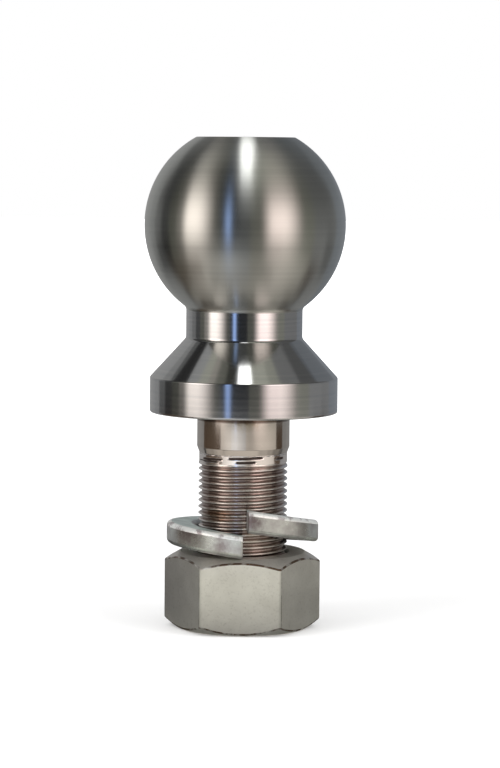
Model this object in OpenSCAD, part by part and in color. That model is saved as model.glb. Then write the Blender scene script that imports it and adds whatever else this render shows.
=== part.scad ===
// A 50 mm tow ball on a threaded shank, with its split spring washer and hexagon nut.
// It stands on the nut: the origin is on the axis at the nut's lower face, and +Z is up.
// Lengths are in millimetres.

/* [Ball] */
// Diameter of the coupling ball
ball_d = 50; // [46:0.1:56]
// Diameter of the flat turned on top of the ball
flat_d = 24; // [10:0.5:30]
// Height of the ball's centre above the flange's lower face
ball_height = 46.6; // [44:0.1:60]

/* [Neck and flange] */
// Diameter of the neck under the ball
neck_d = 29; // [26:0.5:32]
// Radius of the hollow fillets at both ends of the neck
neck_fillet = 1.4; // [0.8:0.1:2.5]
// Diameter of the flange
flange_d = 46.5; // [42:0.5:60]
// Thickness of the flange at its rim
flange_t = 8.3; // [6:0.1:12]
// Height of the cone between the flange and the neck
cone_h = 10.6; // [7:0.1:11.5]
// Radius that breaks the flange's upper edge
rim_round = 0.4; // [0.2:0.1:1]
// Radius that rounds the flange's lower edge
foot_round = 1.1; // [0.5:0.1:2]

/* [Shank] */
// Length of the shank below the flange
shank_length = 53.5; // [50:0.5:90]
// Diameter of the plain part of the shank
plain_d = 22.9; // [22.5:0.1:25]
// Length of the plain part of the shank
plain_length = 8.4; // [4:0.1:12]
// Diameter of the run-out groove between the plain part and the thread
relief_d = 21.8; // [21.5:0.1:22]
// Length of the groove
relief_length = 2.4; // [1:0.1:5]
// Slope from the axis of the chamfer that leads into the groove, in degrees
relief_slope = 20; // [15:1:45]
// Length of the chamfer on the shank's tip
tip_chamfer = 1.6; // [1:0.1:3]

/* [Thread] */
// Outside diameter of the thread, seven eighths of an inch
thread_d = 22.2; // [22:0.1:22.4]
// Pitch of the thread, sixteen turns to the inch
thread_pitch = 1.5875; // [1.4:0.0125:2]
// Radial gap between the nut's thread and the shank's
thread_gap = 0.2; // [0.15:0.01:0.3]

/* [Spring washer] */
// Outside diameter of the washer
washer_d = 37.9; // [34:0.1:44]
// Radial gap between the washer and the plain part of the shank
washer_gap = 0.2; // [0.15:0.05:0.5]
// Thickness of the washer's bar
washer_t = 5.5; // [3:0.1:6]
// Radius on the long edges of the bar
washer_round = 0.5; // [0.2:0.1:1]
// How far one end stands above the other
washer_spring = 6.4; // [0.5:0.1:8]
// Width of the slit between the two ends
washer_slit = 1.7; // [0.5:0.1:4]
// Direction of the slit around the axis, in degrees
washer_slit_at = -86.1; // [-180:0.1:180]
// Lean of the loose washer, in degrees
washer_lean = 6.5; // [0:0.1:7]
// Direction in which the washer leans up, in degrees
washer_lean_at = -132; // [-180:1:180]
// Gap between the nut and the washer's lowest edge
washer_seat = 0.05; // [0.02:0.01:0.3]

/* [Nut] */
// Width of the nut across its flats
nut_af = 34; // [32:0.5:38]
// Height of the nut
nut_h = 19; // [16:0.5:22]
// Diameter of the flat ring left by the chamfer on each face
nut_face_d = 31; // [28:0.5:32]
// Slope of the chamfer from the face, in degrees
nut_chamfer = 28; // [15:1:35]
// Width of the countersink at each end of the thread
countersink = 0.5; // [0.2:0.1:1]
// How far the nut reaches below the shank's tip
tip_inset = 0.3; // [0.1:0.1:2]

/* [Hidden] */
$fn = 96;
// Chords in a turned fillet, and in the round on an edge of the washer's bar
fillet_steps = 5;
edge_steps = 2;
// Facets in one turn of the thread, and sections in one turn of the washer
thread_steps = 28;
washer_steps = 48;
// How deep one solid enters another that it is fused with
bite = 0.05;

ball_r = ball_d / 2;
neck_r = neck_d / 2;
flange_r = flange_d / 2;
plain_r = plain_d / 2;
relief_r = relief_d / 2;

// Levels up the axis
tip_z = tip_inset;
flange_z = tip_z + shank_length;
cone_z = flange_z + flange_t;
neck_z = cone_z + cone_h;
ball_z = flange_z + ball_height;
flat_z = ball_z + sqrt(pow(ball_r, 2) - pow(flat_d / 2, 2));
plain_z = flange_z - plain_length;
relief_z = plain_z - (plain_r - relief_r) / tan(relief_slope);
thread_z = relief_z - relief_length;

// A sixty-degree thread: a sharp V cut short by an eighth of its height at the crest and a quarter at the root
sharp_h = thread_pitch * sqrt(3) / 2;
crest_r = thread_d / 2;
root_r = crest_r - sharp_h * 5 / 8;
crest_flat = thread_pitch / 8;
root_flat = thread_pitch / 4;

washer_in_r = plain_r + washer_gap;
washer_out_r = washer_d / 2;
nut_corner_r = nut_af / 2 / cos(30);

// Points along an arc about a centre, from one angle to another
function arc(centre, r, from, to, steps) =
    [for (i = [0:steps]) let (angle = from + (to - from) * i / steps) centre + r * [cos(angle), sin(angle)]];

// A round in the corner b of the path a, b, c; it is hollow or proud as the corner turns
function corner(a, b, c, r, steps) =
    let (
        u = (a - b) / norm(a - b),
        v = (c - b) / norm(c - b),
        half = acos(u * v) / 2,
        centre = b + (u + v) / norm(u + v) * r / sin(half),
        first = b + u * r / tan(half) - centre,
        last = b + v * r / tan(half) - centre,
        start = atan2(first[1], first[0]),
        turn = atan2(last[1], last[0]) - start
    )
    arc(centre, r, start, start + (turn > 180 ? turn - 360 : turn < -180 ? turn + 360 : turn), steps);

// The thread as one solid rod: a crest and a root that climb together round a solid core.
// Its rows are whole turns counted from the level z = 0, so rods of one pitch mesh with each other.
module thread_rod(crest, root, low, high) {
    form = [
        [root, root_flat / 2],
        [crest, (thread_pitch - crest_flat) / 2],
        [crest, (thread_pitch + crest_flat) / 2],
        [root, thread_pitch - root_flat / 2]
    ];
    first = floor(low / thread_pitch) - 1;
    turns = ceil(high / thread_pitch) + 1 - first;
    rows = turns * thread_steps;
    points = [
        for (i = [0:rows], p = form)
            let (turn = i / thread_steps)
            [p[0] * cos(360 * turn), p[0] * sin(360 * turn), (first + turn) * thread_pitch + p[1]]
    ];
    foot = len(points);
    head = foot + 1;
    walls = [
        for (i = [0:rows - 1], k = [0:3])
            let (
                whole = k < 3 || i + thread_steps < rows,
                a = 4 * i + k,
                b = a + 4,
                up = k < 3 ? 1 : 4 * thread_steps - 3
            )
            if (whole) each [[a, a + up, b], [b, a + up, b + up]]
    ];
    foot_fan = [for (i = [0:thread_steps - 1]) [foot, 4 * i, 4 * i + 4]];
    head_fan = [for (i = [rows - thread_steps:rows - 1]) [head, 4 * i + 7, 4 * i + 3]];
    foot_step = [for (k = [0:3]) [foot, k < 3 ? k + 1 : 4 * thread_steps, k]];
    head_step = [
        for (k = [0:3])
            [head, k == 0 ? 4 * (rows - thread_steps) + 3 : 4 * rows + k - 1, 4 * rows + k]
    ];
    polyhedron(
        concat(points, [[0, 0, first * thread_pitch + root_flat / 2],
                        [0, 0, (first + turns + 1) * thread_pitch - root_flat / 2]]),
        concat(walls, foot_fan, head_fan, foot_step, head_step)
    );
}

// Turned profile from the neck down to the groove above the thread
module turned_blank() {
    fillet_z = ball_z - sqrt(pow(ball_r + neck_fillet, 2) - pow(neck_r + neck_fillet, 2));
    fillet_centre = [neck_r + neck_fillet, fillet_z];
    to_ball = 180 - atan2(ball_z - fillet_z, neck_r + neck_fillet);
    core_r = root_r - 1;
    rotate_extrude()
        polygon(concat(
            [[0, ball_z], [0, thread_z - thread_pitch], [core_r, thread_z - thread_pitch], [core_r, thread_z]],
            [[relief_r, thread_z], [relief_r, relief_z], [plain_r, plain_z], [plain_r, flange_z]],
            corner([plain_r, flange_z], [flange_r, flange_z], [flange_r, cone_z], foot_round, fillet_steps),
            corner([flange_r, flange_z], [flange_r, cone_z], [neck_r, neck_z], rim_round, fillet_steps),
            corner([flange_r, cone_z], [neck_r, neck_z], [neck_r, ball_z], neck_fillet, fillet_steps),
            arc(fillet_centre, neck_fillet, 180, to_ball, fillet_steps),
            [fillet_centre + (neck_fillet + bite) * [cos(to_ball), sin(to_ball)]]
        ));
}

// The ball, neck, flange and shank are forged and turned from one bar, and the thread is cut on it
module ball_stud() {
    color("lightsteelblue")
    union() {
        difference() {
            translate([0, 0, ball_z]) sphere(ball_r);
            translate([0, 0, flat_z]) cylinder(h = ball_r, r = ball_r);
        }
        turned_blank();
        intersection() {
            thread_rod(crest_r, root_r, tip_z, thread_z);
            rotate_extrude()
                polygon([
                    [0, tip_z], [crest_r - tip_chamfer, tip_z], [crest_r + bite, tip_z + tip_chamfer + bite],
                    [crest_r + bite, thread_z], [0, thread_z]
                ]);
        }
    }
}

// A square bar wound into one left-handed turn, cut through, and left sprung open
module spring_washer() {
    slit = washer_slit / washer_out_r * 180 / PI;
    low = [washer_in_r, 0];
    high = [washer_out_r, washer_t];
    bar = concat(
        corner([low[0], high[1]], low, [high[0], low[1]], washer_round, edge_steps),
        corner(low, [high[0], low[1]], high, washer_round, edge_steps),
        corner([high[0], low[1]], high, [low[0], high[1]], washer_round, edge_steps),
        corner(high, [low[0], high[1]], low, washer_round, edge_steps)
    );
    sides = len(bar);
    points = [
        for (i = [0:washer_steps], p = bar)
            let (
                share = i / washer_steps,
                way = washer_slit_at - slit / 2 - (360 - slit) * share,
                lean = p[0] * cos(way - washer_lean_at) * tan(washer_lean)
            )
            [p[0] * cos(way), p[0] * sin(way), p[1] + washer_spring * share + lean]
    ];
    lowest = min([for (p = points) p[2]]);
    walls = [
        for (i = [0:washer_steps - 1], k = [0:sides - 1])
            let (a = i * sides + k, b = i * sides + (k + 1) % sides)
            each [[a, b, a + sides], [b, b + sides, a + sides]]
    ];
    ends = [
        [for (k = [0:sides - 1]) sides - 1 - k],
        [for (k = [0:sides - 1]) washer_steps * sides + k]
    ];
    color("silver")
    translate([0, 0, nut_h + washer_seat - lowest])
    polyhedron(points, concat(walls, ends));
}

// A hexagon bar chamfered on both faces, tapped through and countersunk
module hex_nut() {
    bore_r = crest_r + thread_gap + countersink;
    root = root_r + thread_gap;
    reach = nut_corner_r + 1;
    drop = (reach - nut_face_d / 2) * tan(nut_chamfer);
    color("gainsboro")
    difference() {
        intersection() {
            cylinder(h = nut_h, r = nut_corner_r, $fn = 6);
            rotate_extrude()
                polygon([
                    [0, 0], [nut_face_d / 2, 0], [reach, drop],
                    [reach, nut_h - drop], [nut_face_d / 2, nut_h], [0, nut_h]
                ]);
        }
        thread_rod(crest_r + thread_gap, root, 0, nut_h);
        for (face = [0, 1])
            translate([0, 0, face * nut_h]) mirror([0, 0, face])
            translate([0, 0, -bite]) cylinder(h = bore_r + bite - root, r1 = bore_r + bite, r2 = root);
    }
}

ball_stud();
spring_washer();
hex_nut();
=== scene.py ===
import math

import bpy
from mathutils import Matrix, Vector


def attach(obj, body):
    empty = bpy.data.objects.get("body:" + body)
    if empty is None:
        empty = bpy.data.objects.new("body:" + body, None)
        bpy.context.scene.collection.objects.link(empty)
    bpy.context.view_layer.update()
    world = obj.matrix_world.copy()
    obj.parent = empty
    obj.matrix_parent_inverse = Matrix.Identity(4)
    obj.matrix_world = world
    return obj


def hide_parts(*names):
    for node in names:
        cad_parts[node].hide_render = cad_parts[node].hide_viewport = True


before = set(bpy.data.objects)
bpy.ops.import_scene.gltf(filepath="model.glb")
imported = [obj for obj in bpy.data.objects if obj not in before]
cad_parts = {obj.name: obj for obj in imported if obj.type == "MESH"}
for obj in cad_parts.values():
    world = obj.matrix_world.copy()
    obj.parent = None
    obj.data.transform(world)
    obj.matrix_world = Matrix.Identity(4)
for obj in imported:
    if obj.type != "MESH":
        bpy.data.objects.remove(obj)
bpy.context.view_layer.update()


# The studio
# The ball stands on a white table in a white room. The camera is level with the top of the ball, a little to
# the right of square to the nut's front flat. Turned steel shows only what is round it, so plain grey cards
# and two soft boxes stand there, out of the camera's own sight.
picture_height = 768
focal_length = 2739  # in pixels of the picture
sensor_height = 36
view_distance = 0.680
view_height = 0.1189
view_turn = math.radians(1.4)
view_aside = math.radians(0.130)
view_tilt = math.radians(4.882)
view_roll = math.radians(0.52)

camera_data = bpy.data.cameras.new("camera")
camera_data.sensor_width = sensor_height
camera_data.lens = sensor_height * focal_length / picture_height
camera_data.clip_start = 0.01
camera = bpy.data.objects.new("camera", camera_data)
bpy.context.collection.objects.link(camera)
camera_place = Vector((view_distance * math.sin(view_turn), -view_distance * math.cos(view_turn), view_height))
camera.matrix_world = (
    Matrix.Translation(camera_place)
    @ Matrix.Rotation(view_turn - view_aside, 4, "Z")
    @ Matrix.Rotation(math.pi / 2 - view_tilt, 4, "X")
    @ Matrix.Rotation(view_roll, 4, "Z")
)
bpy.context.scene.camera = camera
bpy.context.scene.view_settings.view_transform = "Standard"


def shader_node(tree, kind, inputs, **settings):
    """Adds a node. Each input is given a number, a colour or another node's output."""
    made = tree.nodes.new(kind)
    for name, value in settings.items():
        setattr(made, name, value)
    for name, value in inputs.items():
        if isinstance(value, bpy.types.NodeSocket):
            tree.links.new(value, made.inputs[name])
        else:
            made.inputs[name].default_value = value
    return made


def maths(tree, operation, *values):
    """The output of a math node on one, two or three values."""
    return shader_node(tree, "ShaderNodeMath", dict(enumerate(values)), operation=operation).outputs[0]


def seen_or_mirrored(tree):
    """1 for what the camera sees, straight or in metal or glass, and 0 for light that falls on things."""
    path = tree.nodes.new("ShaderNodeLightPath")
    straight_or_glossy = maths(tree, "ADD", path.outputs["Is Camera Ray"], path.outputs["Is Glossy Ray"])
    together = maths(tree, "ADD", straight_or_glossy, path.outputs["Is Transmission Ray"])
    return maths(tree, "MINIMUM", together, 1.0)


room_light = 0.85
world = bpy.data.worlds.new("white_room")
bpy.context.scene.world = world
world.use_nodes = True
tree = world.node_tree
tree.nodes.clear()
strength = shader_node(
    tree, "ShaderNodeMapRange", {"Value": seen_or_mirrored(tree), "To Min": room_light, "To Max": 1.0}
)
background = shader_node(
    tree, "ShaderNodeBackground", {"Color": (1, 1, 1, 1), "Strength": strength.outputs[0]}
)
output = shader_node(tree, "ShaderNodeOutputWorld", {"Surface": background.outputs[0]})


def new_material(name):
    """A material with an empty node tree."""
    material = bpy.data.materials.new(name)
    material.use_nodes = True
    material.node_tree.nodes.clear()
    return material


def new_piece(name, points, faces, materials):
    """An object from points and faces. A face is given with the number of its material."""
    mesh = bpy.data.meshes.new(name)
    mesh.from_pydata(points, [], [face for face, number in faces])
    mesh.polygons.foreach_set("material_index", [number for face, number in faces])
    mesh.polygons.foreach_set("use_smooth", [True] * len(faces))
    for material in materials:
        mesh.materials.append(material)
    mesh.validate()
    piece = bpy.data.objects.new(name, mesh)
    bpy.context.collection.objects.link(piece)
    return piece


table_colour = (0.90, 0.90, 0.90, 1)
table_glow = (0.16, 1.0)
table_glow_rises = (0.15, 0.9)
table_reach = 4.0
table_material = new_material("white_table")
tree = table_material.node_tree
place = shader_node(tree, "ShaderNodeTexCoord", {})
from_object = shader_node(tree, "ShaderNodeVectorMath", {0: place.outputs["Object"]}, operation="LENGTH")
rise = shader_node(
    tree, "ShaderNodeMapRange",
    {"Value": from_object.outputs["Value"], "From Min": table_glow_rises[0], "From Max": table_glow_rises[1],
     "To Min": table_glow[0], "To Max": table_glow[1]},
)
glow = maths(tree, "MULTIPLY", seen_or_mirrored(tree), rise.outputs[0])
shader = shader_node(
    tree,
    "ShaderNodeBsdfPrincipled",
    {
        "Base Color": table_colour,
        "Roughness": 0.9,
        "Specular IOR Level": 0.1,
        "Emission Color": (1, 1, 1, 1),
        "Emission Strength": glow,
    },
)
shader_node(tree, "ShaderNodeOutputMaterial", {"Surface": shader.outputs[0]})
table_top = new_piece(
    "table",
    [(x * table_reach, y * table_reach, 0) for x, y in ((-1, -1), (1, -1), (1, 1), (-1, 1))],
    [((0, 1, 2, 3), 0)],
    [table_material],
)

lamp_size = 0.5
for name, place, power in (("lamp_left", (-0.55, -0.45, 0.75), 3.0), ("lamp_right", (0.6, -0.4, 0.6), 2.0)):
    lamp_data = bpy.data.lights.new(name, "AREA")
    lamp_data.shape = "DISK"
    lamp_data.size = lamp_size
    lamp_data.energy = power
    lamp = bpy.data.objects.new(name, lamp_data)
    bpy.context.collection.objects.link(lamp)
    lamp.location = place
    lamp.rotation_euler = (Vector((0, 0, 0.06)) - Vector(place)).to_track_quat("-Z", "Y").to_euler()
    lamp.visible_glossy = False

wall_distance = 0.52


def round_the_object(bearing, distance, height):
    """A point at a bearing from the camera's own side, to its right positive, in degrees."""
    turn = view_turn + math.radians(bearing)
    return (distance * math.sin(turn), -distance * math.cos(turn), height)


def shown_in_metal_only(name, points, faces, material):
    """Stages a card or light of the studio that stays out of the camera's own sight."""
    made = new_piece(name, points, faces, [material])
    made.visible_camera = False
    made.visible_diffuse = False
    made.visible_shadow = False
    made.visible_transmission = False
    return made


def card(name, colour, level, bearings, folds):
    """A plain card, bent round the object. Its edges and folds are distances and heights."""
    material = new_material(name)
    tree = material.node_tree
    light = shader_node(tree, "ShaderNodeEmission", {"Color": (*colour, 1), "Strength": level})
    shader_node(tree, "ShaderNodeOutputMaterial", {"Surface": light.outputs[0]})
    steps = max(2, round(abs(bearings[1] - bearings[0]) / 4))
    count = len(folds)
    points = []
    for step in range(steps + 1):
        bearing = bearings[0] + (bearings[1] - bearings[0]) * step / steps
        points += [round_the_object(bearing, *fold) for fold in folds]
    faces = []
    for step in range(steps):
        for fold in range(count - 1):
            near, far = count * step + fold, count * (step + 1) + fold
            faces.append(((near, far, far + 1, near + 1), 0))
    shown_in_metal_only(name, points, faces, material)


neutral = (1, 1, 1)
olive = (1, 1, 0.86)
tan = (1, 0.93, 0.84)
cool = (0.90, 0.96, 1.05)
brown = (1, 0.72, 0.52)
above_table = 0.0008
kerb_distance = 0.031
kerb_top = 0.018
near_edge = 0.059
side_near_edge = 0.09
fence_distance = 0.10
fence_top = 0.0436
kerb_foot_top = 0.0075
parts = ("ceiling", "slope", "high_wall", "wall", "low_wall", "mat", "near_mat", "foot_mat", "fence", "kerb",
         "kerb_foot")
for name, colour, levels, fence_colour, start, end in (
    ("behind_left", neutral, (0.12, 0.20, 0.36, 0.34, 0.33, 0.30, 0.2, 0.09, 0.30, 0.12), neutral, -180, -138),
    ("beside_left", neutral, (0.10, 0.14, 0.28, 0.30, 0.32, 0.16, 0.25, 0.08, 0.30, 0.06), neutral, -138, -124),
    ("far_left", neutral, (0.08, 0.03, 0.06, 0.22, 0.14, 0.02, 0.35, 0.08, 0.28, 0.03), neutral, -124, -110),
    ("flag_left", neutral, (0.36, 0.08, 0.05, 0.09, 0.045, 0.0, 0.35, 0.08, 0.09, 0.03), brown, -110, -96),
    ("fall_left", olive, (0.42, 0.14, 0.07, 0.15, 0.05, 0.12, 0.35, 0.08, 0.10, 0.04), brown, -96, -84),
    ("left", tan, (0.36, 0.16, 0.12, 0.36, 0.16, 0.12, 0.45, 0.08, 0.10, 0.06), brown, -84, -74),
    ("edge_left", olive, (0.16, 0.26, 0.12, 0.20, 0.18, 0.10, 0.55, 0.10, 0.10, 0.2), brown, -74, -55),
    ("front_left", olive, (0.04, 0.04, 0.08, 0.11, 0.09, 0.06, 0.7, 0.12, 0.50, 0.58), tan, -55, -28),
    ("by_window", cool, (0.03, 0.03, 0.05, 0.07, 0.05, 0.05, 0.7, 0.12, 0.55, 0.62), neutral, -28, -13),
    ("flag_front", cool, (0.05, 0.05, 0.04, 0.03, 0.02, 0.06, 0.7, 0.12, 0.50, 0.62), neutral, -13, 6),
    ("front_right", olive, (0.42, 0.16, 0.10, 0.12, 0.09, 0.12, 0.7, 0.12, 0.50, 0.58), tan, 6, 42),
    ("edge_right", olive, (0.46, 0.18, 0.12, 0.18, 0.16, 0.26, 0.5, 0.14, 0.50, 0.25), tan, 42, 68),
    ("right", olive, (0.34, 0.14, 0.11, 0.24, 0.26, 0.22, 0.4, 0.15, 0.50, 0.18), tan, 68, 85),
    ("far_right", neutral, (0.20, 0.12, 0.10, 0.20, 0.28, 0.26, 0.25, 0.15, 0.08, 0.20), brown, 85, 108),
    ("beside_right", neutral, (0.14, 0.11, 0.10, 0.20, 0.27, 0.10, 0.15, 0.15, 0.24, 0.15), neutral, 108, 126),
    ("behind_right", cool, (0.12, 0.16, 0.20, 0.26, 0.27, 0.22, 0.2, 0.12, 0.26, 0.15), neutral, 126, 180),
):
    colours = [colour] * 6 + [tan, olive, fence_colour, olive, olive]
    mat_edge = near_edge if abs(start + end) < 100 else side_near_edge
    levels = (*levels, levels[-1] * 0.65)
    folds = (
        ((0.42, 0.58), (0, 0.80)),
        ((wall_distance, 0.45), (0.42, 0.58)),
        ((wall_distance, 0.20), (wall_distance, 0.45)),
        ((wall_distance, 0.03), (wall_distance, 0.20)),
        ((wall_distance, above_table), (wall_distance, 0.03)),
        ((mat_edge, above_table), (wall_distance, above_table)),
        ((kerb_distance, above_table), (mat_edge, above_table)),
        ((0.0165, 0.0001), (kerb_distance, above_table)),
        ((fence_distance, above_table), (fence_distance, fence_top)),
        ((kerb_distance, kerb_foot_top), (kerb_distance, kerb_top)),
        ((kerb_distance, above_table), (kerb_distance, kerb_foot_top)),
    )
    for part, part_colour, level, fold in zip(parts, colours, levels, folds):
        card(name + "_" + part, part_colour, level, (start, end), fold)


def hill(place, start, full_from, full_to, end):
    """Rises smoothly from 0 at the start to 1 and falls back to 0 at the end."""
    rise = (place - start) / (full_from - start)
    fall = (end - place) / (end - full_to)
    share = min(max(min(rise, fall), 0), 1)
    return share * share * (3 - 2 * share)


def soft_light(name, colour, level, along, across, place):
    """A light that fades to its edges. Its two ways have a start, a full stretch and an end."""
    material = new_material(name)
    tree = material.node_tree
    glow = shader_node(tree, "ShaderNodeAttribute", {}, attribute_name="glow")
    strength = maths(tree, "MULTIPLY", glow.outputs["Fac"], level)
    light = shader_node(tree, "ShaderNodeEmission", {"Color": (*colour, 1), "Strength": strength})
    clear = shader_node(tree, "ShaderNodeBsdfTransparent", {})
    both = shader_node(tree, "ShaderNodeAddShader", {0: light.outputs[0], 1: clear.outputs[0]})
    shader_node(tree, "ShaderNodeOutputMaterial", {"Surface": both.outputs[0]})
    steps = 24
    points, glows, faces = [], [], []
    for i in range(steps + 1):
        for j in range(steps + 1):
            a = along[0] + (along[3] - along[0]) * i / steps
            b = across[0] + (across[3] - across[0]) * j / steps
            points.append(place(a, b))
            glows.append(hill(a, *along) * hill(b, *across))
    for i in range(steps):
        for j in range(steps):
            corner = i * (steps + 1) + j
            faces.append(((corner, corner + steps + 1, corner + steps + 2, corner + 1), 0))
    made = shown_in_metal_only(name, points, faces, material)
    made.data.attributes.new("glow", "FLOAT", "POINT").data.foreach_set("value", glows)


light_distance = 0.36
for name, colour, level, distance, bearings, heights in (
    ("soft_box_left", (1, 0.89, 0.83), 2.45, light_distance, (-77, -66, -56, -31), (-0.05, 0.11, 0.18, 0.38)),
    ("soft_box_right", (1, 0.83, 0.79), 2.5, light_distance, (17, 33, 41, 72), (-0.05, 0.11, 0.14, 0.34)),
    ("window", (0.36, 0.54, 1.0), 1.6, light_distance, (-23.5, -19.5, -18, -13.5), (-0.05, 0.09, 0.16, 0.34)),
    ("paper_left", neutral, 0.44, 0.099, (-62, -28, -18, 15), (0.001, 0.002, 0.0434, 0.0436)),
    ("paper_right", tan, 0.20, 0.099, (20, 42, 56, 91), (0.001, 0.002, 0.0434, 0.0436)),
):
    soft_light(name, colour, level, bearings, heights, lambda a, b: round_the_object(a, distance, b))

strip_height = 0.50
soft_light("strip_light", neutral, 2.8, (-0.38, -0.20, 0.08, 0.20), (-0.035, -0.031, 0.046, 0.050),
           lambda a, b: (b, a, strip_height))


# The ball stud
# The ball, its neck and flange, the shank and the thread are one piece of steel, forged and then turned bright
# on a lathe. The plain part of the shank is ground smooth, and the thread is cut, its roots painted dark brown as
# shade and its crests near white as a painted highlight.
ball_radius = 0.02498
flat_radius = 0.0122
ball_level = 0.1003
neck_radius = 0.0145
neck_fillet = 0.0014
flange_radius = 0.0234
flange_level = 0.0539
cone_level = 0.0626
neck_level = 0.07235
rim_round = 0.0005
foot_round = 0.0004
flat_round = 0.0007
plain_radius = 0.01155
plain_level = 0.0454
relief_radius = 0.01098
relief_level = 0.043889
thread_level = 0.041489
tip_level = 0.0003
tip_chamfer = 0.0016
crest_radius = 0.0111
root_radius = 0.010241
pitch = 0.0015875
columns = 144


def arc(centre, radius, start, end, steps):
    """Points on an arc in the plane of radius and height, from one angle to another in degrees."""
    angles = [math.radians(start + (end - start) * step / steps) for step in range(steps + 1)]
    return [(centre[0] + radius * math.cos(angle), centre[1] + radius * math.sin(angle)) for angle in angles]


def rounded(before, corner, after, radius, steps=5, hold=0.00012):
    """The corner of an outline, rounded, with a point close to each end of the round to keep the faces flat."""
    before, corner, after = Vector(before), Vector(corner), Vector(after)
    back, ahead = (before - corner).normalized(), (after - corner).normalized()
    half = back.angle(ahead) / 2
    centre = corner + (back + ahead).normalized() * radius / math.sin(half)
    run = radius / math.tan(half)
    first, last = corner + back * run - centre, corner + ahead * run - centre
    start = math.degrees(math.atan2(first.y, first.x))
    turn = (math.degrees(math.atan2(last.y, last.x)) - start + 180) % 360 - 180
    bend = arc(centre, radius, start, start + turn, steps)
    return [tuple(corner + back * (run + hold)), *bend, tuple(corner + ahead * (run + hold))]


def ring_of_points(radius, level):
    """One turn of points at a radius and a level."""
    turns = [2 * math.pi * column / columns for column in range(columns)]
    return [(radius * math.cos(turn), radius * math.sin(turn), level) for turn in turns]


def thread_radius(place, crest, root):
    """The radius of a sixty-degree thread at a place in its pitch, from 0 at the root to 0.5 at the crest."""
    from_root = min(place % 1, 1 - place % 1)
    rise = (from_root - 0.125) / (0.4375 - 0.125)
    return root + (crest - root) * min(max(rise, 0), 1)


thread_places = (0, 0.105, 0.14, 0.21, 0.32, 0.415, 0.45, 0.5, 0.55, 0.585, 0.68, 0.79, 0.86, 0.895)


def thread_grid(points, faces, low, high, foot_ring, head_ring, radius_at, turns, number):
    """Adds a helical grid between two rings that are already in points. Rows climb one pitch in a turn."""
    rows_per_pitch = len(thread_places)
    first = math.floor(low / pitch) - 1
    last = math.ceil(high / pitch) + 1
    made = {}

    def point(row, column):
        if column == len(turns):
            row, column = row + rows_per_pitch, 0
        place = row // rows_per_pitch + thread_places[row % rows_per_pitch] + turns[column] / (2 * math.pi)
        level = (first + place) * pitch
        if level <= low:
            return foot_ring + column
        if level >= high:
            return head_ring + column
        if (row, column) not in made:
            made[row, column] = len(points)
            radius = radius_at(level, thread_places[row % rows_per_pitch])
            points.append((radius * math.cos(turns[column]), radius * math.sin(turns[column]), level))
        return made[row, column]

    for row in range(-rows_per_pitch, (last - first) * rows_per_pitch):
        for column in range(len(turns)):
            corners = [point(row, column), point(row, column + 1)]
            corners += [point(row + 1, column + 1), point(row + 1, column)]
            face = list(dict.fromkeys(corners))
            if len(face) > 2:
                faces.append((face, number))


run_out_start = thread_level - 0.0012
run_out_length = 0.0016
thread_top = thread_level + 0.0005


def stud_thread_radius(level, place):
    """The stud's thread, chamfered at the tip and lifting out of the groove at its upper end."""
    lift = max(0, (level - run_out_start) / run_out_length) * (crest_radius - root_radius)
    tip = crest_radius - tip_chamfer + level - tip_level
    shoulder = relief_radius + min(max(thread_level - level, 0), crest_radius - relief_radius)
    return min(thread_radius(place, crest_radius, root_radius) + lift, tip, shoulder)


fillet_level = ball_level - math.sqrt((ball_radius + neck_fillet) ** 2 - (neck_radius + neck_fillet) ** 2)
ball_foot = math.degrees(math.atan2(fillet_level - ball_level, neck_radius + neck_fillet))
flat_level = ball_level + math.sqrt(ball_radius ** 2 - flat_radius ** 2)
flat_angle = math.degrees(math.acos(flat_radius / ball_radius))
flat_soft = 2.5
ball_steps = 64

slot_depth = 0.00022
slot_half_width = 0.00030
slots = ((-64, -29, 0.04275), (-20, 26, 0.04325), (47, 64, 0.04295), (-80, -36, 0.04205), (-10, 16, 0.04225))


def cut_by_slots(radius, level, turn):
    """The depth that the unfinished turns of the thread cut at a point of the groove."""
    bearing = (math.degrees(turn - view_turn) + 90 + 180) % 360 - 180
    depth = 0
    for start, end, slot_level in slots:
        climb = pitch * (bearing - (start + end) / 2) / 360
        across = 1 - abs(level - slot_level - climb) / slot_half_width
        along = min((bearing - start) / 6, (end - bearing) / 3)
        if across > 0 and along > 0:
            depth = max(depth, min(across * 2, 1) * min(along, 1) * slot_depth)
    return depth


slot_rings = 20
outline = [(relief_radius, thread_top)]
outline += [(relief_radius, thread_top + (0.04370 - thread_top) * ring / slot_rings) for ring in range(1, slot_rings + 1)]
outline += rounded((relief_radius, thread_level), (relief_radius, relief_level), (plain_radius, plain_level), 0.0004)
outline += rounded((relief_radius, relief_level), (plain_radius, plain_level), (plain_radius, flange_level), 0.0003)
outline += [(plain_radius, (plain_level + flange_level) / 2)]
outline += rounded((plain_radius, plain_level), (plain_radius, flange_level), (flange_radius, flange_level), 0.0003)
outline += rounded((plain_radius, flange_level), (flange_radius, flange_level), (flange_radius, cone_level), foot_round)
outline += [(flange_radius, (flange_level + cone_level) / 2)]
outline += rounded((flange_radius, flange_level), (flange_radius, cone_level), (neck_radius, neck_level), rim_round)
outline += [((flange_radius + neck_radius) / 2, (cone_level + neck_level) / 2)]
outline += rounded((flange_radius, cone_level), (neck_radius, neck_level), (neck_radius, ball_level), neck_fillet, 8)
outline += [(neck_radius, (neck_level + fillet_level) / 2), (neck_radius, fillet_level - 0.00012)]
outline += arc((neck_radius + neck_fillet, fillet_level), neck_fillet, 180, 180 + ball_foot, 8)
outline += arc((0, ball_level), ball_radius, ball_foot + 0.4, flat_angle - flat_soft, ball_steps)
flat_edge = arc((0, ball_level), ball_radius, flat_angle - flat_soft, flat_angle - flat_soft - 0.5, 1)[1]
outline += rounded(flat_edge, (flat_radius, flat_level), (0, flat_level), flat_round, 4, 0.00005)
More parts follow.
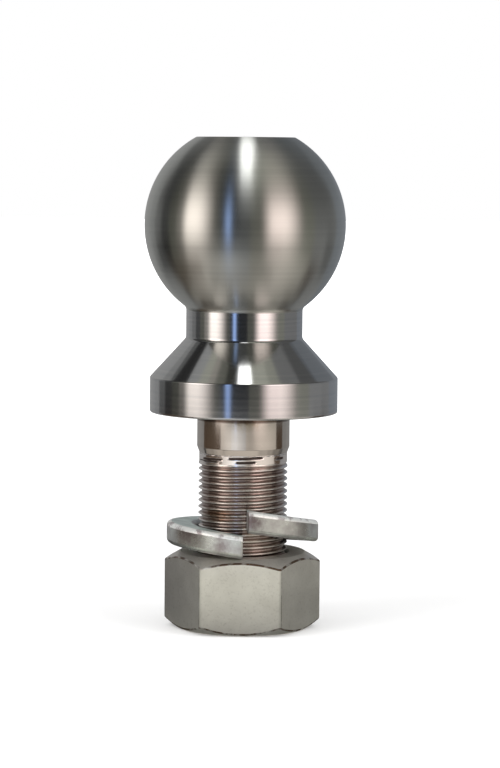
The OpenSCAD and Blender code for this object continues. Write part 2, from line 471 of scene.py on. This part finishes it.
outline += [(0.008, flat_level), (0.003, flat_level)]

stud_points = [(0, 0, tip_level)] + ring_of_points(0.005, tip_level)
stud_points += ring_of_points(crest_radius - tip_chamfer, tip_level)
stud_faces = []
for column in range(columns):
    beside = (column + 1) % columns
    stud_faces.append(((0, 1 + beside, 1 + column), 2))
    stud_faces.append(((1 + column, 1 + beside, 1 + columns + beside, 1 + columns + column), 2))
foot_ring = 1 + columns
first_ring = len(stud_points)
for ring_radius, ring_level in outline:
    for x, y, level in ring_of_points(ring_radius, ring_level):
        share = 1 - cut_by_slots(ring_radius, level, math.atan2(y, x)) / ring_radius
        stud_points.append((x * share, y * share, level))
turns = [2 * math.pi * column / columns for column in range(columns)]
thread_grid(stud_points, stud_faces, tip_level, thread_top, foot_ring, first_ring, stud_thread_radius, turns, 2)
for ring in range(len(outline) - 1):
    middle = (outline[ring][1] + outline[ring + 1][1]) / 2
    number = 2 if middle < relief_level else 1 if outline[ring][1] < flange_level - 1e-6 else 3
    number = 5 if cone_level < middle < neck_level else number
    number = 0 if middle > fillet_level else number
    for column in range(columns):
        beside = (column + 1) % columns
        low_corner, high_corner = first_ring + ring * columns, first_ring + (ring + 1) * columns
        face = (low_corner + column, low_corner + beside, high_corner + beside, high_corner + column)
        depth = max(cut_by_slots(outline[ring][0], stud_points[at][2], math.atan2(*stud_points[at][1::-1])) for at in face)
        stud_faces.append((face, 4 if depth > 0.00008 else number))
top_centre = len(stud_points)
stud_points.append((0, 0, flat_level))
last_ring = first_ring + (len(outline) - 1) * columns
for column in range(columns):
    stud_faces.append(((last_ring + column, last_ring + (column + 1) % columns, top_centre), 0))


def new_group(name, inputs, outputs):
    """An empty node group with number inputs, given with their usual values, and named outputs."""
    group = bpy.data.node_groups.new(name, "ShaderNodeTree")
    for socket_name, value in inputs.items():
        socket = group.interface.new_socket(socket_name, in_out="INPUT", socket_type="NodeSocketFloat")
        socket.default_value = value
    for socket_name in outputs:
        group.interface.new_socket(socket_name, in_out="OUTPUT", socket_type="NodeSocketFloat")
    return group, group.nodes.new("NodeGroupInput"), group.nodes.new("NodeGroupOutput")


def use_group(tree, group, **inputs):
    """Places a node group in a material with its own values."""
    return shader_node(tree, "ShaderNodeGroup", {name.replace("_", " "): value for name, value in inputs.items()},
                       node_tree=group)


def colour_mix(tree, factor, first, second):
    """A colour between two others."""
    mix = shader_node(tree, "ShaderNodeMix", {0: factor, 6: first, 7: second}, data_type="RGBA")
    return mix.outputs[2]


def spread(tree, value, low, high, to_low=0.0, to_high=1.0):
    """A value stretched from one range to another and held inside it."""
    mapped = shader_node(
        tree,
        "ShaderNodeMapRange",
        {"Value": value, "From Min": low, "From Max": high, "To Min": to_low, "To Max": to_high},
    )
    return mapped.outputs[0]


turning, group_in, group_out = new_group("turning_marks", {"Marks per metre": 4000.0}, ("Height", "Tone", "From axis"))
place = shader_node(turning, "ShaderNodeTexCoord", {})
axes = shader_node(turning, "ShaderNodeSeparateXYZ", {0: place.outputs["Object"]})
across = maths(turning, "ADD", maths(turning, "POWER", axes.outputs[0], 2.0),
               maths(turning, "POWER", axes.outputs[1], 2.0))
from_axis = maths(turning, "SQRT", across)
along = shader_node(turning, "ShaderNodeCombineXYZ", {0: from_axis, 2: axes.outputs[2]})
fine = shader_node(
    turning, "ShaderNodeTexNoise",
    {"Vector": along.outputs[0], "Scale": group_in.outputs["Marks per metre"], "Detail": 3.0, "Roughness": 0.65},
)
coarse_scale = maths(turning, "MULTIPLY", group_in.outputs["Marks per metre"], 0.22)
coarse = shader_node(
    turning, "ShaderNodeTexNoise", {"Vector": along.outputs[0], "Scale": coarse_scale, "Detail": 2.0}
)
turning.links.new(from_axis, group_out.inputs["From axis"])
turning.links.new(fine.outputs[0], group_out.inputs["Height"])
turning.links.new(spread(turning, coarse.outputs[0], 0.3, 0.7), group_out.inputs["Tone"])


def metal(name, colour, roughness, normal=None, anisotropic=0.0, rotation=0.0, metallic=1.0):
    """A material of plated or bare metal. Anisotropy is for marks that run round the axis."""
    tree = name.node_tree
    inputs = {"Base Color": colour, "Metallic": metallic, "Roughness": roughness, "Anisotropic": anisotropic,
              "Anisotropic Rotation": rotation}
    if normal:
        inputs["Normal"] = normal
    shader = shader_node(tree, "ShaderNodeBsdfPrincipled", inputs)
    if anisotropic:
        tangent = shader_node(tree, "ShaderNodeTangent", {}, direction_type="RADIAL", axis="Z")
        tree.links.new(tangent.outputs[0], shader.inputs["Tangent"])
    shader_node(tree, "ShaderNodeOutputMaterial", {"Surface": shader.outputs[0]})


turned_steel = new_material("turned_steel")
tree = turned_steel.node_tree
marks = use_group(tree, turning, Marks_per_metre=4500.0)
steel_colour = colour_mix(tree, marks.outputs["Tone"], (0.565, 0.575, 0.55, 1), (0.625, 0.635, 0.605, 1))
steel_roughness = spread(tree, marks.outputs["Tone"], 0, 1, 0.28, 0.31)
bump = shader_node(tree, "ShaderNodeBump", {"Height": marks.outputs["Height"], "Strength": 1.0, "Distance": 2.5e-6})
metal(turned_steel, steel_colour, steel_roughness, bump.outputs[0], 0.95, 0.25)

fine_turned_steel = new_material("fine_turned_steel")
tree = fine_turned_steel.node_tree
marks = use_group(tree, turning, Marks_per_metre=6000.0)
fine_colour = colour_mix(tree, marks.outputs["Tone"], (0.55, 0.56, 0.57, 1), (0.63, 0.63, 0.63, 1))
fine_roughness = spread(tree, marks.outputs["Tone"], 0, 1, 0.13, 0.16)
bump = shader_node(tree, "ShaderNodeBump", {"Height": marks.outputs["Height"], "Strength": 1.0, "Distance": 1e-6})
metal(fine_turned_steel, fine_colour, fine_roughness, bump.outputs[0], 0.4, 0.25)

cone_steel = new_material("smooth_turned_steel")
tree = cone_steel.node_tree
marks = use_group(tree, turning, Marks_per_metre=6000.0)
cone_colour = colour_mix(tree, marks.outputs["Tone"], (0.56, 0.57, 0.57, 1), (0.62, 0.62, 0.61, 1))
bump = shader_node(tree, "ShaderNodeBump", {"Height": marks.outputs["Height"], "Strength": 1.0, "Distance": 5e-7})
metal(cone_steel, cone_colour, 0.11, bump.outputs[0], 0.2, 0.25)

stain, group_in, group_out = new_group(
    "stain", {"X": 0.0, "Y": 0.0, "Z": 0.0, "Reach": 0.004, "Flatness": 1.0}, ("Mask",)
)
place = shader_node(stain, "ShaderNodeTexCoord", {})
middle = shader_node(
    stain, "ShaderNodeCombineXYZ", {0: group_in.outputs["X"], 1: group_in.outputs["Y"], 2: group_in.outputs["Z"]}
)
away = shader_node(
    stain, "ShaderNodeVectorMath", {0: place.outputs["Object"], 1: middle.outputs[0]}, operation="SUBTRACT"
)
flatten = shader_node(stain, "ShaderNodeCombineXYZ", {0: 1.0, 1: 1.0, 2: group_in.outputs["Flatness"]})
away = shader_node(
    stain, "ShaderNodeVectorMath", {0: away.outputs[0], 1: flatten.outputs[0]}, operation="MULTIPLY"
)
far = shader_node(stain, "ShaderNodeVectorMath", {0: away.outputs[0]}, operation="LENGTH")
speckle = shader_node(
    stain, "ShaderNodeTexNoise", {"Vector": place.outputs["Object"], "Scale": 900.0, "Detail": 4.0, "Roughness": 0.7}
)
reach = maths(stain, "DIVIDE", far.outputs["Value"], group_in.outputs["Reach"])
edge = maths(stain, "SUBTRACT", maths(stain, "MULTIPLY", speckle.outputs[0], 1.6), reach)
stain.links.new(spread(stain, edge, -0.25, 0.55), group_out.inputs["Mask"])

ground_steel = new_material("ground_steel")
tree = ground_steel.node_tree
marks = use_group(tree, turning, Marks_per_metre=3000.0)
ground_colour = colour_mix(tree, marks.outputs["Tone"], (0.65, 0.605, 0.56, 1), (0.71, 0.66, 0.61, 1))
oil = use_group(tree, stain, X=0.0006, Y=-0.0114, Z=0.0527, Reach=0.0034, Flatness=2.6)
ground_colour = colour_mix(tree, maths(tree, "MULTIPLY", oil.outputs["Mask"], 0.85), ground_colour, (0.09, 0.05, 0.035, 1))
oil = use_group(tree, stain, X=0.0008, Y=-0.0114, Z=0.0518, Reach=0.0042, Flatness=2.0)
ground_colour = colour_mix(tree, maths(tree, "MULTIPLY", oil.outputs["Mask"], 0.35), ground_colour, (0.45, 0.36, 0.20, 1))
place = shader_node(tree, "ShaderNodeTexCoord", {})
axes = shader_node(tree, "ShaderNodeSeparateXYZ", {0: place.outputs["Object"]})
# Painted shade: a dark band round the shank just under the flange.
painted_shade_under_flange = spread(tree, axes.outputs[2], flange_level - 0.0021, flange_level - 0.0016, 0.0, 0.85)
ground_colour = colour_mix(tree, painted_shade_under_flange, ground_colour, (0.09, 0.05, 0.035, 1))
bump = shader_node(tree, "ShaderNodeBump", {"Height": marks.outputs["Height"], "Strength": 1.0, "Distance": 1e-6})
metal(ground_steel, ground_colour, 0.13, bump.outputs[0], 0.4, 0.25)

cut_steel = new_material("cut_thread_steel")
tree = cut_steel.node_tree
marks = use_group(tree, turning, Marks_per_metre=5000.0)
place = shader_node(tree, "ShaderNodeTexCoord", {})
patchy = shader_node(tree, "ShaderNodeTexNoise", {"Vector": place.outputs["Object"], "Scale": 260.0, "Detail": 4.0})
# Painted light: the thread's crests are coloured near white as a painted highlight and its roots dark brown as painted
# shade, with a patchy line between them.
painted_light_from = spread(tree, patchy.outputs[0], 0.3, 0.7, 0.01080, 0.01045)
above_root = maths(tree, "SUBTRACT", marks.outputs["From axis"], painted_light_from)
crest_highlight_root_shade = spread(tree, above_root, 0.0, 0.0003)
thread_colour = colour_mix(tree, crest_highlight_root_shade, (0.42, 0.345, 0.32, 1), (0.98, 0.93, 0.90, 1))
rust = use_group(tree, stain, X=-0.0065, Y=-0.0092, Z=0.0290, Reach=0.0065, Flatness=4.0)
thread_colour = colour_mix(tree, maths(tree, "MULTIPLY", rust.outputs["Mask"], 0.8), thread_colour, (0.30, 0.17, 0.09, 1))
thread_roughness = spread(tree, crest_highlight_root_shade, 0, 1, 0.20, 0.17)
bump = shader_node(tree, "ShaderNodeBump", {"Height": marks.outputs["Height"], "Strength": 1.0, "Distance": 3e-6})
metal(cut_steel, thread_colour, thread_roughness, bump.outputs[0], 0.3, 0.25)

# Painted shade: the faces in the shallow slots, where the thread's last turns cut into the groove, are coloured almost
# black.
slot_shade_steel = new_material("slot_steel_painted_shade")
tree = slot_shade_steel.node_tree
marks = use_group(tree, turning, Marks_per_metre=5000.0)
slot_shade_colour = colour_mix(tree, marks.outputs["Tone"], (0.05, 0.035, 0.03, 1), (0.10, 0.07, 0.06, 1))
bump = shader_node(tree, "ShaderNodeBump", {"Height": marks.outputs["Height"], "Strength": 1.0, "Distance": 3e-6})
metal(slot_shade_steel, slot_shade_colour, 0.5, bump.outputs[0], metallic=0.7)

stud = new_piece("turned_ball_stud", stud_points, stud_faces, [turned_steel, ground_steel, cut_steel, fine_turned_steel, slot_shade_steel, cone_steel])
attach(stud, "stud")
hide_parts("ball_stud")


# The spring washer
# A square bar of spring steel wound into one left-handed turn and cut through, then hardened and zinc plated.
# It lies loose on the nut, and its ends stand apart because nothing has squeezed it flat.
washer_inner = plain_radius + 0.0002
washer_outer = 0.01895
washer_thickness = 0.0055
washer_round = 0.0011
washer_spring = 0.0064
washer_slit = 0.0014
washer_slit_at = math.radians(-86.1)
washer_lean = math.radians(6.5)
washer_lean_at = math.radians(-132)
washer_seat = 0.00005
washer_steps = 200
end_round = 0.0003
nut_height = 0.019


def bar_outline(inset):
    """The bar's section, smaller by an inset, as points from its lower inner corner round."""
    low = (washer_inner + inset, inset)
    high = (washer_outer - inset, washer_thickness - inset)
    corners = [low, (high[0], low[1]), high, (low[0], high[1])]
    radius = max(washer_round - inset, 0.0002)
    points = []
    for number in range(4):
        points += rounded(corners[number - 1], corners[number], corners[(number + 1) % 4], radius, 4, 0.0001)
    return points


slit_turn = washer_slit / washer_outer
washer_turn = 2 * math.pi - slit_turn
round_turn = end_round / ((washer_inner + washer_outer) / 2)
end_cuts = [(round_turn * (1 - math.cos(a)), end_round * (1 - math.sin(a)))
            for a in (math.radians(degrees) for degrees in (0, 30, 60, 90))]
cuts = list(end_cuts)
cuts += [(round_turn + (washer_turn - 2 * round_turn) * step / washer_steps, 0) for step in range(1, washer_steps)]
cuts += [(washer_turn - turned, inset) for turned, inset in reversed(end_cuts)]

washer_points = []
for turned, inset in cuts:
    way = washer_slit_at - slit_turn / 2 - turned
    for radius, level in bar_outline(inset):
        lean = radius * math.cos(way - washer_lean_at) * math.tan(washer_lean)
        height = level + washer_spring * turned / washer_turn + lean
        washer_points.append(Vector((radius * math.cos(way), radius * math.sin(way), height)))
lowest = min(point.z for point in washer_points)
washer_points = [point + Vector((0, 0, nut_height + washer_seat - lowest)) for point in washer_points]
sides = len(bar_outline(0))
bevel_sides = (15, 20)
top_sides = 22
washer_faces = []
for cut in range(len(cuts) - 1):
    for side in range(sides):
        here, there = cut * sides + side, cut * sides + (side + 1) % sides
        bevel = bevel_sides[0] <= side < bevel_sides[1]
        on_top = bevel_sides[1] <= side < top_sides
        washer_faces.append(((here, there, there + sides, here + sides), 1 if bevel else 2 if on_top else 0))
washer_faces.append((tuple(range(sides))[::-1], 0))
washer_faces.append((tuple(range((len(cuts) - 1) * sides, len(cuts) * sides)), 0))

zinc, group_in, group_out = new_group("zinc_bloom", {"Patches per metre": 180.0}, ("Tone", "Grain"))
place = shader_node(zinc, "ShaderNodeTexCoord", {})
patches = shader_node(
    zinc, "ShaderNodeTexNoise",
    {"Vector": place.outputs["Object"], "Scale": group_in.outputs["Patches per metre"], "Detail": 4.0,
     "Roughness": 0.6},
)
grain_scale = maths(zinc, "MULTIPLY", group_in.outputs["Patches per metre"], 12.0)
grain = shader_node(
    zinc, "ShaderNodeTexNoise", {"Vector": place.outputs["Object"], "Scale": grain_scale, "Detail": 3.0}
)
zinc.links.new(spread(zinc, patches.outputs[0], 0.35, 0.65), group_out.inputs["Tone"])
zinc.links.new(grain.outputs[0], group_out.inputs["Grain"])

plated_spring = new_material("zinc_plated_spring_steel")
tree = plated_spring.node_tree
bloom = use_group(tree, zinc, Patches_per_metre=220.0)
spring_colour = colour_mix(tree, bloom.outputs["Tone"], (0.46, 0.44, 0.44, 1), (0.72, 0.75, 0.71, 1))
for x, y, z, size, flatness, share in (
    (-0.0125, -0.0130, 0.0262, 0.0060, 1.6, 0.65),
    (-0.0046, -0.0185, 0.0222, 0.0026, 1.0, 0.6),
    (0.0026, -0.0187, 0.0290, 0.0036, 1.2, 0.8),
    (0.0120, -0.0147, 0.0262, 0.0022, 1.0, 0.2),
):
    patch = use_group(tree, stain, X=x, Y=y, Z=z, Reach=size, Flatness=flatness)
    spring_colour = colour_mix(
        tree, maths(tree, "MULTIPLY", patch.outputs["Mask"], share), spring_colour, (0.17, 0.11, 0.12, 1)
    )
spring_roughness = spread(tree, bloom.outputs["Tone"], 0, 1, 0.36, 0.26)
bump = shader_node(tree, "ShaderNodeBump", {"Height": bloom.outputs["Tone"], "Strength": 1.0, "Distance": 2e-5})
metal(plated_spring, spring_colour, spring_roughness, bump.outputs[0], metallic=0.9)

# Painted highlight: the washer's upper outer round is coloured near white, with some darker patches.
bevel_highlight_zinc = new_material("zinc_bevel_painted_highlight")
tree = bevel_highlight_zinc.node_tree
bloom = use_group(tree, zinc, Patches_per_metre=420.0)
bevel_highlight_colour = colour_mix(tree, spread(tree, bloom.outputs["Tone"], 0.0, 0.5), (0.42, 0.38, 0.38, 1), (0.92, 0.93, 0.90, 1))
metal(bevel_highlight_zinc, bevel_highlight_colour, 0.4, metallic=0.55)

clouded_zinc = new_material("clouded_zinc_top")
tree = clouded_zinc.node_tree
bloom = use_group(tree, zinc, Patches_per_metre=260.0)
top_colour = colour_mix(tree, bloom.outputs["Tone"], (0.46, 0.54, 0.52, 1), (0.68, 0.78, 0.75, 1))
bump = shader_node(tree, "ShaderNodeBump", {"Height": bloom.outputs["Grain"], "Strength": 1.0, "Distance": 1e-5})
metal(clouded_zinc, top_colour, 0.4, bump.outputs[0], metallic=0.6)

washer = new_piece("split_spring_washer", washer_points, washer_faces, [plated_spring, bevel_highlight_zinc, clouded_zinc])
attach(washer, "washer")
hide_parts("spring_washer")


# The nut
# A hexagon nut, pressed from bar, chamfered on both faces, tapped and zinc plated. It sits on the lower end of
# the thread, and the part stands on it.
nut_half_width = 0.017
nut_face_radius = 0.0155
nut_chamfer = math.radians(30)
nut_foot_radius = 0.0162
nut_foot_chamfer = math.radians(33)
nut_corner_round = 0.0012
nut_edge_round = 0.0005
thread_gap = 0.0002
countersink = 0.0005
nut_thread_crest = crest_radius + thread_gap
nut_thread_root = root_radius + thread_gap
bore_radius = nut_thread_crest + countersink

flat_half = (nut_half_width - nut_corner_round) * math.tan(math.radians(30))
corner_centre = (nut_half_width - nut_corner_round) / math.cos(math.radians(30))
half_side = [(math.atan2(aside, nut_half_width), math.hypot(aside, nut_half_width))
             for aside in [flat_half * share for share in (0, 0.14, 0.28, 0.42, 0.56, 0.7, 0.82, 0.91, 0.98, 1)]]
for degrees in (8, 15, 22, 30):
    sweep = math.radians(degrees)
    x = corner_centre * math.cos(math.radians(30)) + nut_corner_round * math.cos(sweep)
    y = corner_centre * math.sin(math.radians(30)) + nut_corner_round * math.sin(sweep)
    half_side.append((math.atan2(y, x), math.hypot(x, y)))
whole_side = [(-turn, reach) for turn, reach in half_side[:0:-1]] + half_side[:-1]
hexagon = sorted(((turn + math.radians(30 + 60 * side)) % (2 * math.pi), reach)
                 for side in range(6) for turn, reach in whole_side)


def nut_outline(reach):
    """The nut's outline in a plane through the axis, from the lower countersink round to the upper one."""
    halves = []
    for face_radius, slope in ((nut_foot_radius, nut_foot_chamfer), (nut_face_radius, nut_chamfer)):
        drop = (reach - face_radius) * math.tan(slope)
        bore, face = (bore_radius, 0), (face_radius, 0)
        edge, middle = (reach, drop), (reach, nut_height / 2)
        half = [bore, (bore_radius + 0.0001, 0), ((bore_radius + face_radius) / 2, 0)]
        half += rounded(bore, face, edge, nut_edge_round, 3, 0.0001)
        half += rounded(face, edge, middle, nut_edge_round, 4, 0.0001)
        half += [(reach, drop + 0.002), (reach, drop + 0.0045)]
        halves.append(half)
    return halves[0] + [middle] + [(radius, nut_height - level) for radius, level in reversed(halves[1])]


rows = len(nut_outline(nut_half_width))
nut_columns = len(hexagon)
nut_points = []
for row in range(rows):
    for turn, reach in hexagon:
        radius, level = nut_outline(reach)[row]
        nut_points.append((radius * math.cos(turn), radius * math.sin(turn), level))
nut_faces = []
edge_rows = set(range(9, 14)) | set(range(rows - 15, rows - 10))
corner_columns = set()
for column in range(nut_columns):
    turn = (hexagon[column][0] + hexagon[(column + 1) % nut_columns][0]) / 2
    bearing = (math.degrees(turn) + 90 + 180) % 360 - 180
    past_corner = (abs(bearing) + 30) % 60
    if 1.3 < past_corner < 1.9:
        corner_columns.add(column)
for row in range(rows - 1):
    for column in range(nut_columns):
        beside = (column + 1) % nut_columns
        low_corner, high_corner = row * nut_columns, (row + 1) * nut_columns
        on_edge_line = row in edge_rows or column in corner_columns and 14 <= row < rows - 15
        nut_faces.append(
            ((low_corner + column, low_corner + beside, high_corner + beside, high_corner + column), 2 if on_edge_line else 0)
        )


def nut_thread_radius(level, place):
    """The nut's thread, opened by the countersink at both ends."""
    sink = bore_radius - min(level, nut_height - level)
    return max(thread_radius(place, nut_thread_crest, nut_thread_root), sink)


tapped = []
turns = [turn for turn, reach in hexagon]
thread_grid(nut_points, tapped, 0.0, nut_height, 0, (rows - 1) * nut_columns, nut_thread_radius, turns, 1)
nut_faces += [(face[::-1], number) for face, number in tapped]

plated_nut = new_material("zinc_plated_nut_steel")
tree = plated_nut.node_tree
bloom = use_group(tree, zinc, Patches_per_metre=150.0)
nut_colour = colour_mix(tree, bloom.outputs["Tone"], (0.76, 0.74, 0.70, 1), (0.86, 0.84, 0.80, 1))
grain_tone = spread(tree, bloom.outputs["Grain"], 0.2, 0.45, 0.35, 0.0)
nut_colour = colour_mix(tree, grain_tone, nut_colour, (0.42, 0.39, 0.36, 1))
bump = shader_node(tree, "ShaderNodeBump", {"Height": bloom.outputs["Grain"], "Strength": 1.0, "Distance": 2e-5})
metal(plated_nut, nut_colour, 0.42, bump.outputs[0], metallic=0.9)

# The rounds along both chamfer edges and at the corners of the nut are coloured in broken dark brown lines, with a pale
# zinc colour between.
brown_edge_lines = new_material("brown_edge_lines")
tree = brown_edge_lines.node_tree
bloom = use_group(tree, zinc, Patches_per_metre=330.0)
light_share = spread(tree, bloom.outputs["Tone"], 0.35, 1.0)
edge_line_colour = colour_mix(tree, light_share, (0.13, 0.085, 0.06, 1), (0.80, 0.78, 0.74, 1))
metal(brown_edge_lines, edge_line_colour, 0.35, metallic=0.8)

tapped_steel = new_material("tapped_thread_steel")
tree = tapped_steel.node_tree
marks = use_group(tree, turning, Marks_per_metre=4000.0)
bump = shader_node(tree, "ShaderNodeBump", {"Height": marks.outputs["Height"], "Strength": 1.0, "Distance": 2e-6})
metal(tapped_steel, (0.50, 0.49, 0.46, 1), 0.35, bump.outputs[0])

nut = new_piece("hexagon_nut", nut_points, nut_faces, [plated_nut, tapped_steel, brown_edge_lines])
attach(nut, "nut")
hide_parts("hex_nut")
